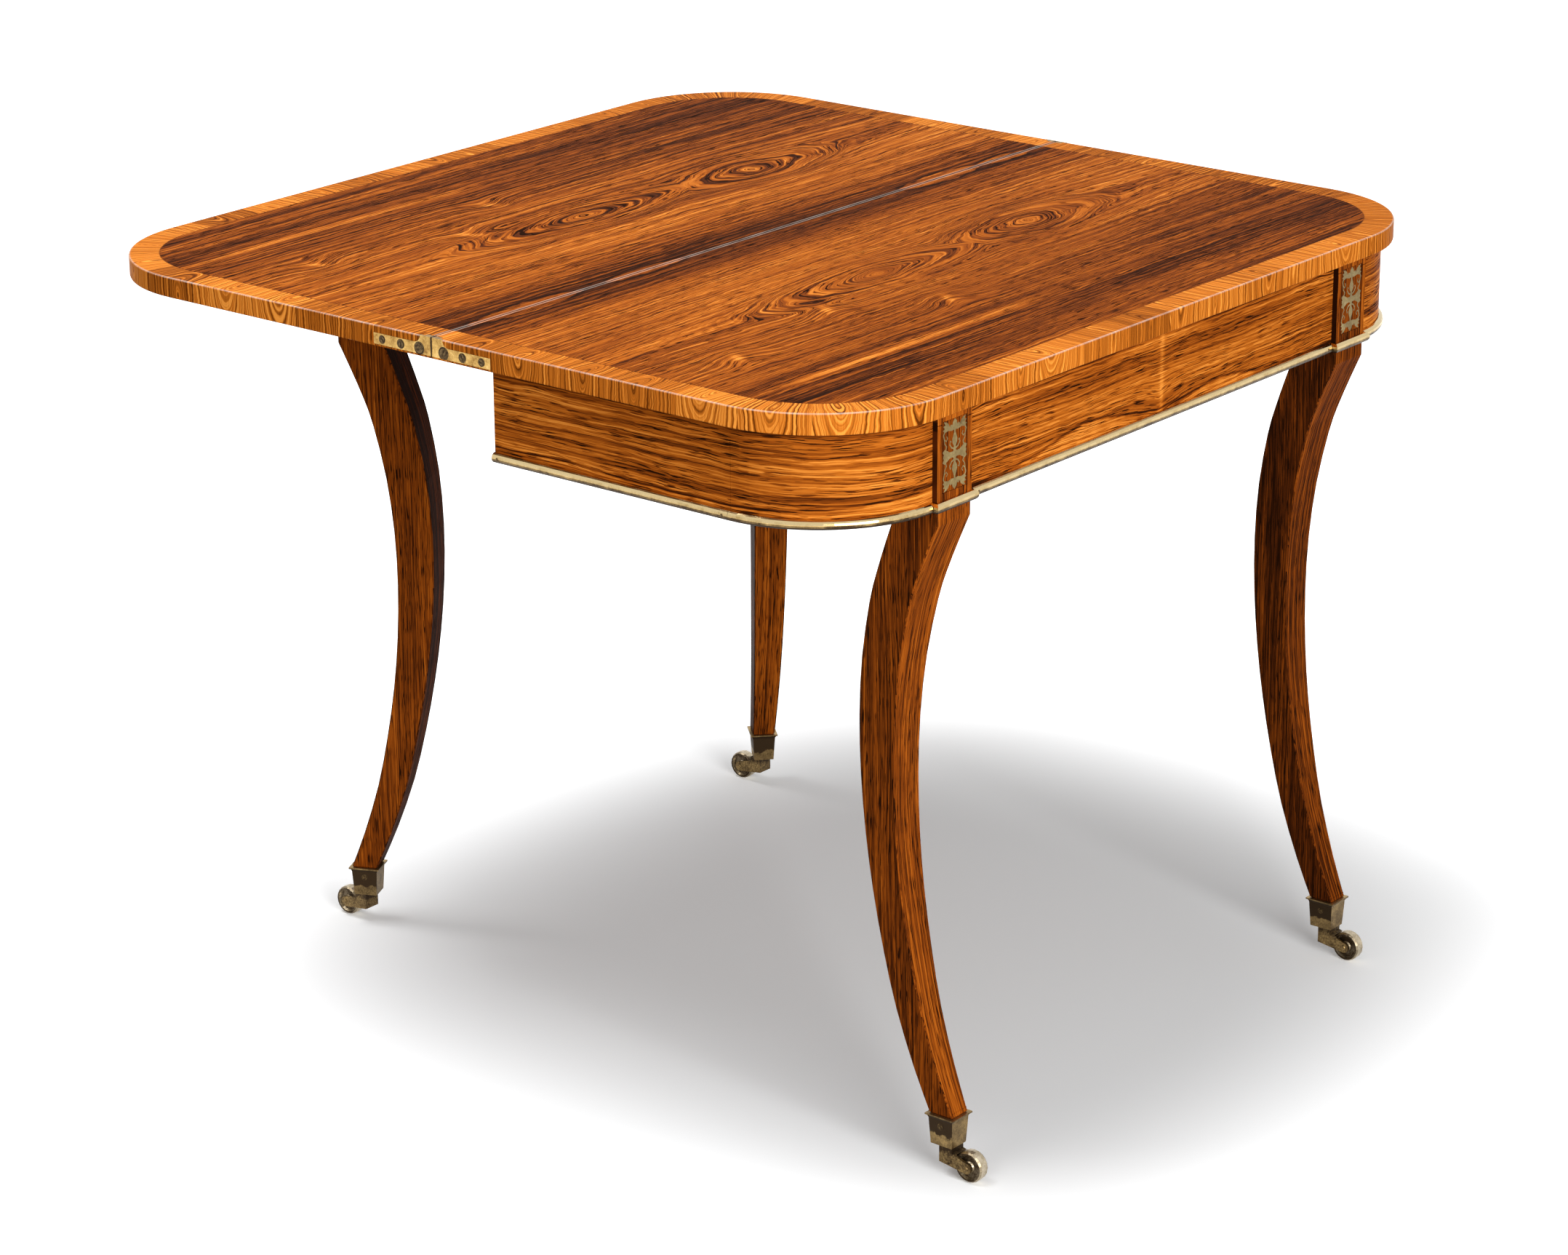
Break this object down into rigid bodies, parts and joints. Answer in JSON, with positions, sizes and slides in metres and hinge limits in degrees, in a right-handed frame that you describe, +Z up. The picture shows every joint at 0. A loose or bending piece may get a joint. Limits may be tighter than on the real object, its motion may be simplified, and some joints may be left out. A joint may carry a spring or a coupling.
{
  "type": "tea table",
  "caption": "Fold-over rosewood tea table with a hinged leaf, swinging gate legs, sabre legs on brass castors and a beaded frieze.",
  "frame": {"origin": "on the floor under the middle of the open table, its front castors trailing, 16 mm in front of the hinge line", "axes": "+X along the hinge line, +Y towards the folding leaf, +Z up; the frieze front faces -Y"},
  "size_m": [0.914, 0.9326, 0.712],
  "materials": {
    "rosewood": "polished, figured",
    "rosewood_dark": "polished, dark",
    "beech": "plain, aged",
    "brass": "aged, polished",
    "castor_brass": "dark patina",
    "steel": "dull"
  },
  "bodies": {
    "root": {"fixed_top": "rosewood", "front_rail": "rosewood", "corner_left": "rosewood", "corner_right": "rosewood", "side_rail_left": "rosewood", "side_rail_right": "rosewood", "tablet_left": "rosewood", "tablet_right": "rosewood", "front_leg_left": "rosewood", "front_leg_right": "rosewood", "back_rail": "beech", "knuckle_block": "beech", "bead_front": "brass", "hinge_fixed_left": "brass", "hinge_fixed_right": "brass", "inlay_left": "brass", "inlay_right": "brass", "bead_tablet_left": "brass", "bead_tablet_right": "brass", "bead_corner_left": "brass", "bead_corner_right": "brass", "bead_side_left": "brass", "bead_side_right": "brass", "socket_front_left": "brass", "socket_front_right": "brass", "knuckle_pin_left": "steel", "knuckle_pin_right": "steel"},
    "leaf": {"leaf_top": "rosewood", "hinge_leaf_left": "brass", "hinge_leaf_right": "brass"},
    "gate_left": {"fly_rail_left": "beech", "rear_leg_left": "rosewood_dark", "socket_rear_left": "brass"},
    "gate_right": {"fly_rail_right": "beech", "rear_leg_right": "rosewood_dark", "socket_rear_right": "brass"},
    "castor_front_left": {"fork_front_left": "castor_brass", "axle_front_left": "castor_brass"},
    "roller_front_left": {"wheel_front_left": "castor_brass"},
    "castor_front_right": {"fork_front_right": "castor_brass", "axle_front_right": "castor_brass"},
    "roller_front_right": {"wheel_front_right": "castor_brass"},
    "castor_rear_left": {"fork_rear_left": "castor_brass", "axle_rear_left": "castor_brass"},
    "roller_rear_left": {"wheel_rear_left": "castor_brass"},
    "castor_rear_right": {"fork_rear_right": "castor_brass", "axle_rear_right": "castor_brass"},
    "roller_rear_right": {"wheel_rear_right": "castor_brass"}
  },
  "joints": [
    {"name": "leaf_hinge", "type": "hinge", "parent": "root", "child": "leaf", "pos_m": [0, 0.01632, 0.7123], "axis": [1, 0, 0], "range_deg": [0, 180]},
    {"name": "gate_left_pivot", "type": "hinge", "parent": "root", "child": "gate_left", "pos_m": [-0.035, -0.01367, 0.66], "axis": [0, 0, 1], "range_deg": [-25, 65]},
    {"name": "gate_right_pivot", "type": "hinge", "parent": "root", "child": "gate_right", "pos_m": [0.035, -0.01367, 0.66], "axis": [0, 0, 1], "range_deg": [-47, 43]},
    {"name": "swivel_front_left", "type": "hinge", "parent": "root", "child": "castor_front_left", "pos_m": [-0.304, -0.42633, 0.029], "axis": [0, 0, 1], "continuous": true},
    {"name": "roll_front_left", "type": "hinge", "parent": "castor_front_left", "child": "roller_front_left", "pos_m": [-0.304, -0.45182, 0.0145], "axis": [1, 0, 0], "continuous": true},
    {"name": "swivel_front_right", "type": "hinge", "parent": "root", "child": "castor_front_right", "pos_m": [0.304, -0.42633, 0.029], "axis": [0, 0, 1], "continuous": true},
    {"name": "roll_front_right", "type": "hinge", "parent": "castor_front_right", "child": "roller_front_right", "pos_m": [0.304, -0.45182, 0.0145], "axis": [1, 0, 0], "continuous": true},
    {"name": "swivel_rear_left", "type": "hinge", "parent": "gate_left", "child": "castor_rear_left", "pos_m": [-0.20982, 0.36122, 0.029], "axis": [0, 0, 1], "continuous": true},
    {"name": "roll_rear_left", "type": "hinge", "parent": "castor_rear_left", "child": "roller_rear_left", "pos_m": [-0.20982, 0.38672, 0.0145], "axis": [-1, 0, 0], "continuous": true},
    {"name": "swivel_rear_right", "type": "hinge", "parent": "gate_right", "child": "castor_rear_right", "pos_m": [0.31711, 0.28885, 0.029], "axis": [0, 0, 1], "continuous": true},
    {"name": "roll_rear_right", "type": "hinge", "parent": "castor_rear_right", "child": "roller_rear_right", "pos_m": [0.31711, 0.31435, 0.0145], "axis": [-1, 0, 0], "continuous": true}
  ]
}
